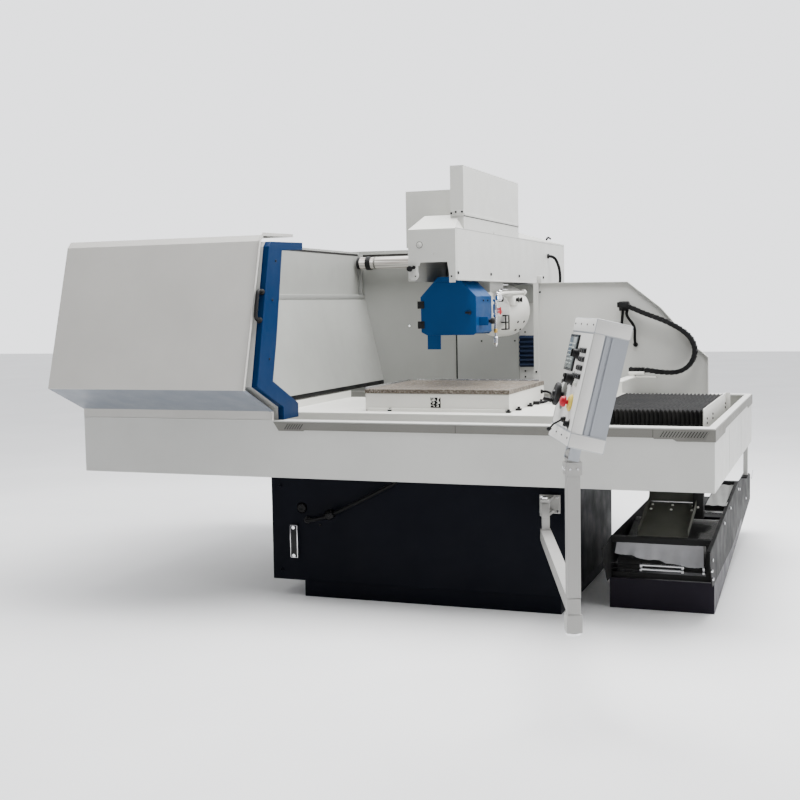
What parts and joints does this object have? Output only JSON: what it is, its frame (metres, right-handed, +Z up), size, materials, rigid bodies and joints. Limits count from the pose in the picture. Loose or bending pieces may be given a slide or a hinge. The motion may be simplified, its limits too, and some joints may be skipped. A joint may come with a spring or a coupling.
{
  "type": "surface grinder",
  "caption": "Column-type surface grinder with a long splash tray, travelling table with magnetic chuck, sliding hood guard, overhung wheel head, swing-arm pendant and band filter.",
  "frame": {"origin": "on the floor, under the middle of the table's travel and at the rear edge of the table", "axes": "+X along the table travel to the operator's right, +Y from the front of the machine to its back, +Z up"},
  "size_m": [3.4093, 4.6697, 2.319],
  "materials": {
    "machine_grey": "satin paint",
    "machine_white": "satin paint",
    "trim_grey": "satin paint",
    "base_navy": "gloss paint",
    "guard_blue": "satin paint",
    "cast_iron": "machined",
    "ground_steel": "ground",
    "chuck_plate": "ground, stained",
    "bellows_cloth": "coated cloth",
    "black_plastic": "matt",
    "black_rubber": "matt",
    "abrasive": "vitrified grit",
    "chrome": "polished",
    "pendant_grey": "satin paint",
    "screen_glass": "gloss",
    "lamp_glass": "clear tube over a white lamp",
    "stop_red": "gloss",
    "stop_yellow": "matt",
    "filter_grey": "worn paint",
    "filter_dark": "gloss paint",
    "filter_paper": "non-woven"
  },
  "bodies": {
    "machine": {"bed": "base_navy", "sight_gauge": "chrome", "oil_hose": "black_rubber", "splash_tray": "machine_grey", "trim_band": "trim_grey", "front_hood": "machine_grey", "tray_end_wall": "machine_grey", "left_wall": "machine_grey", "rear_wall_left": "machine_grey", "rear_wall_right": "machine_grey", "column_cover": "machine_grey", "column_bellows": "base_navy", "lamp_tube": "lamp_glass", "lamp_bracket": "black_plastic", "way_bed": "cast_iron", "bellows_left": "bellows_cloth", "bellows_right": "bellows_cloth", "bellows_plate_left": "machine_white", "bellows_plate_right": "machine_white", "cable_carrier": "black_plastic", "carrier_lead_a": "black_rubber", "carrier_lead_b": "black_rubber", "column": "machine_grey", "pendant_bracket": "machine_white", "filter_tank": "filter_dark", "filter_frame": "filter_grey", "filter_chute": "filter_grey", "filter_belt": "filter_paper", "used_band": "filter_paper"},
    "table": {"table": "machine_white", "chuck_body": "machine_white", "chuck_plate": "chuck_plate", "chuck_lead": "black_rubber", "carrier_bracket": "machine_white"},
    "sliding_guard": {"guard_frame": "guard_blue", "guard_sheet": "machine_grey", "guard_handle": "black_plastic"},
    "ram": {"ram": "cast_iron", "canopy": "machine_white", "canopy_cable": "black_rubber"},
    "wheel_head": {"spindle_housing": "machine_grey", "wheel_cover": "guard_blue", "coolant_pipe": "chrome"},
    "spindle": {"spindle": "ground_steel", "grinding_wheel": "abrasive"},
    "cover_door": {"cover_door": "guard_blue"},
    "coolant_tap": {"coolant_tap": "stop_red"},
    "pendant_arm": {"pendant_arm": "machine_white"},
    "pendant_post": {"pendant_post": "machine_white"},
    "pendant_head": {"pendant_box": "pendant_grey", "pendant_screen": "screen_glass", "stop_collar": "stop_yellow"},
    "handwheel": {"handwheel": "black_plastic"},
    "knob_upper": {"knob_upper": "black_plastic"},
    "knob_middle": {"knob_middle": "black_plastic"},
    "knob_lower": {"knob_lower": "black_plastic"},
    "stop_button": {"stop_button": "stop_red"},
    "selector_lever": {"selector_lever": "black_plastic"},
    "filter_drum": {"filter_drum": "filter_grey"},
    "filter_roller": {"filter_roller": "chrome"}
  },
  "joints": [
    {"name": "table_travel", "type": "slide", "parent": "machine", "child": "table", "axis": [1, 0, 0], "range_m": [-0.44, 0.44], "deforming": ["bellows_right", "bellows_left", "cable_carrier"]},
    {"name": "guard_travel", "type": "slide", "parent": "machine", "child": "sliding_guard", "axis": [1, 0, 0], "range_m": [0, 1.05]},
    {"name": "ram_travel", "type": "slide", "parent": "machine", "child": "ram", "axis": [0, 1, 0], "range_m": [-0.22, 0.42]},
    {"name": "head_travel", "type": "slide", "parent": "ram", "child": "wheel_head", "axis": [0, 0, 1], "range_m": [-0.2, 0.02]},
    {"name": "spindle_turn", "type": "hinge", "parent": "wheel_head", "child": "spindle", "pos_m": [0, -0.57, 1.54], "axis": [0, 1, 0], "continuous": true},
    {"name": "cover_door_hinge", "type": "hinge", "parent": "wheel_head", "child": "cover_door", "pos_m": [-0.171, -0.664, 1.5], "axis": [0, 0, 1], "range_deg": [-110, 0]},
    {"name": "coolant_tap_turn", "type": "hinge", "parent": "wheel_head", "child": "coolant_tap", "pos_m": [0.232, -0.5, 1.53], "axis": [1, 0, 0], "range_deg": [-90, 0]},
    {"name": "arm_swing", "type": "hinge", "parent": "machine", "child": "pendant_arm", "pos_m": [0.728, -1.405, 0.46], "axis": [0, 0, 1], "range_deg": [-73, 42]},
    {"name": "post_turn", "type": "hinge", "parent": "pendant_arm", "child": "pendant_post", "pos_m": [1.165, -2.765, 0.46], "axis": [0, 0, 1], "range_deg": [-120, 120]},
    {"name": "head_tilt", "type": "hinge", "parent": "pendant_post", "child": "pendant_head", "pos_m": [1.165, -2.765, 1], "axis": [0.3907, -0.9205, 0], "range_deg": [-15, 13]},
    {"name": "handwheel_turn", "type": "hinge", "parent": "pendant_head", "child": "handwheel", "pos_m": [1.11457, -2.67994, 1.21319], "axis": [-0.8943, -0.3796, 0.2368], "continuous": true},
    {"name": "knob_upper_turn", "type": "hinge", "parent": "pendant_head", "child": "knob_upper", "pos_m": [1.19018, -2.75866, 1.37252], "axis": [-0.8943, -0.3796, 0.2368], "range_deg": [-135, 135]},
    {"name": "knob_middle_turn", "type": "hinge", "parent": "pendant_head", "child": "knob_middle", "pos_m": [1.17181, -2.77297, 1.28022], "axis": [-0.8943, -0.3796, 0.2368], "range_deg": [-135, 135]},
    {"name": "knob_lower_turn", "type": "hinge", "parent": "pendant_head", "child": "knob_lower", "pos_m": [1.17991, -2.88903, 1.12478], "axis": [-0.8943, -0.3796, 0.2368], "range_deg": [-90, 90]},
    {"name": "stop_press", "type": "slide", "parent": "pendant_head", "child": "stop_button", "axis": [0.8943, 0.3796, -0.2368], "range_m": [0, 0.0035], "stiffness_N_per_m": 600, "springref_m": -0.004},
    {"name": "selector_turn", "type": "hinge", "parent": "pendant_head", "child": "selector_lever", "pos_m": [1.15062, -2.81456, 1.13352], "axis": [-0.8943, -0.3796, 0.2368], "range_deg": [-30, 30]},
    {"name": "drum_turn", "type": "hinge", "parent": "machine", "child": "filter_drum", "pos_m": [1.2, -0.42, 0.275], "axis": [1, 0, 0], "continuous": true},
    {"name": "roller_turn", "type": "hinge", "parent": "machine", "child": "filter_roller", "pos_m": [1.2, -0.98, 0.215], "axis": [1, 0, 0], "continuous": true}
  ],
  "couplings": [
    {"joint": "roller_turn", "follows": "drum_turn", "ratio": 3.6364}
  ]
}
